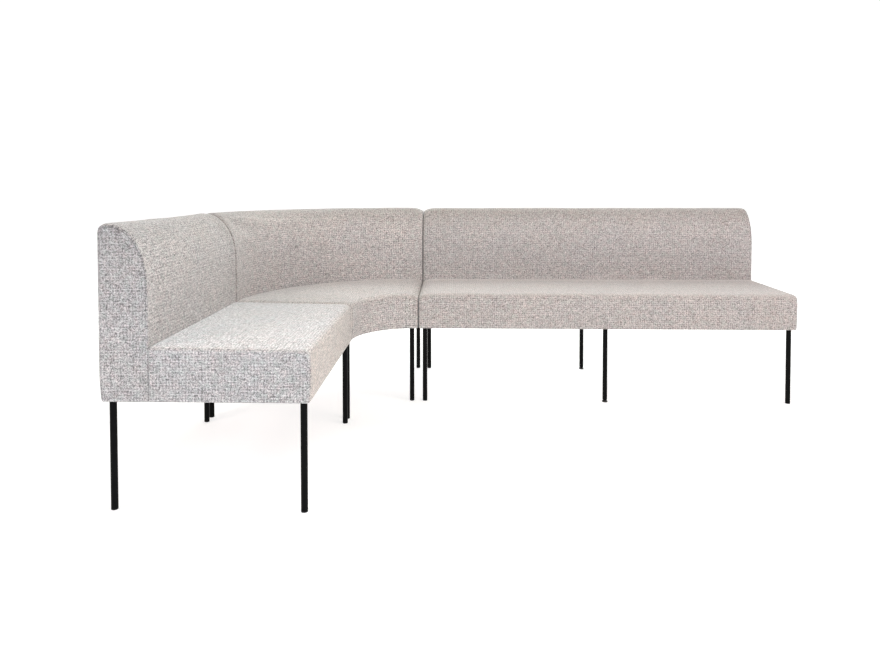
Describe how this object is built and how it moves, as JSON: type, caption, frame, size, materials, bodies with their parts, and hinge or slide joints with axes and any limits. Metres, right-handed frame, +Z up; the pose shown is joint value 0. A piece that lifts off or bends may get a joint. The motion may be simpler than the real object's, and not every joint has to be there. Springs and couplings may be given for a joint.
{
  "type": "upholstered corner banquette bench",
  "caption": "Sectional upholstered banquette: short straight module, quarter-round inner corner and long straight module with full-height backs, on slim black tube legs.",
  "frame": {"origin": "on the floor under the middle of the whole bench's bounding box", "axes": "+X along the long module away from the corner, +Y towards the long module's back, +Z up"},
  "size_m": [2.445, 1.645, 0.822],
  "materials": {
    "cover_fabric": "light grey and pinkish beige melange basket weave, matt",
    "foam": "cut polyurethane foam",
    "timber": "planed softwood, raw",
    "plywood": "birch plywood, raw",
    "bottom_cloth": "black non-woven dust cloth",
    "leg_steel": "black powder coat, satin",
    "foot_plastic": "black moulded nylon, matt",
    "zinc_steel": "zinc plated, satin"
  },
  "bodies": {
    "root": {"left_seat_cover": "cover_fabric", "left_seat_foam": "foam", "left_seat_deck": "plywood", "left_front_rail": "timber", "left_rear_rail": "timber", "left_cross_rails": "timber", "left_bottom_cloth": "bottom_cloth", "left_back_cover": "cover_fabric", "left_back_foam": "foam", "left_back_boards": "plywood", "left_back_frame": "timber", "corner_seat_cover": "cover_fabric", "corner_seat_foam": "foam", "corner_seat_deck": "plywood", "corner_front_rail": "timber", "corner_rear_rail": "timber", "corner_cross_rails": "timber", "corner_bottom_cloth": "bottom_cloth", "corner_back_cover": "cover_fabric", "corner_back_foam": "foam", "corner_back_boards": "plywood", "corner_back_frame": "timber", "right_seat_cover": "cover_fabric", "right_seat_foam": "foam", "right_seat_deck": "plywood", "right_front_rail": "timber", "right_rear_rail": "timber", "right_cross_rails": "timber", "right_bottom_cloth": "bottom_cloth", "right_back_cover": "cover_fabric", "right_back_foam": "foam", "right_back_boards": "plywood", "right_back_frame": "timber", "left_leg_1": "leg_steel", "left_leg_2": "leg_steel", "left_leg_3": "leg_steel", "left_leg_4": "leg_steel", "corner_leg_1": "leg_steel", "corner_leg_2": "leg_steel", "corner_leg_3": "leg_steel", "corner_leg_4": "leg_steel", "corner_leg_5": "leg_steel", "right_leg_1": "leg_steel", "right_leg_2": "leg_steel", "right_leg_3": "leg_steel", "right_leg_4": "leg_steel", "right_leg_5": "leg_steel", "plain_glides": "foot_plastic", "level_nuts": "zinc_steel", "leg_screws": "zinc_steel", "back_bolts": "zinc_steel", "back_nuts": "zinc_steel", "link_plates": "leg_steel", "link_bolts": "zinc_steel", "link_inserts": "zinc_steel"},
    "front_foot_pad": {"level_pad_front": "foot_plastic"},
    "front_foot_stem": {"level_stem_front": "leg_steel"},
    "rear_foot_pad": {"level_pad_rear": "foot_plastic"},
    "rear_foot_stem": {"level_stem_rear": "leg_steel"}
  },
  "joints": [
    {"name": "front_foot_height", "type": "slide", "parent": "root", "child": "front_foot_pad", "axis": [0, 0, -1], "range_m": [0, 0.015]},
    {"name": "front_foot_turn", "type": "hinge", "parent": "front_foot_pad", "child": "front_foot_stem", "pos_m": [0.4225, 0.2495, 0], "axis": [0, 0, -1], "range_deg": [0, 4320]},
    {"name": "rear_foot_height", "type": "slide", "parent": "root", "child": "rear_foot_pad", "axis": [0, 0, -1], "range_m": [0, 0.015]},
    {"name": "rear_foot_turn", "type": "hinge", "parent": "rear_foot_pad", "child": "rear_foot_stem", "pos_m": [0.4225, 0.7955, 0], "axis": [0, 0, -1], "range_deg": [0, 4320]}
  ],
  "couplings": [
    {"joint": "front_foot_turn", "follows": "front_foot_height", "rad_per_m": 5026.5},
    {"joint": "rear_foot_turn", "follows": "rear_foot_height", "rad_per_m": 5026.5}
  ]
}
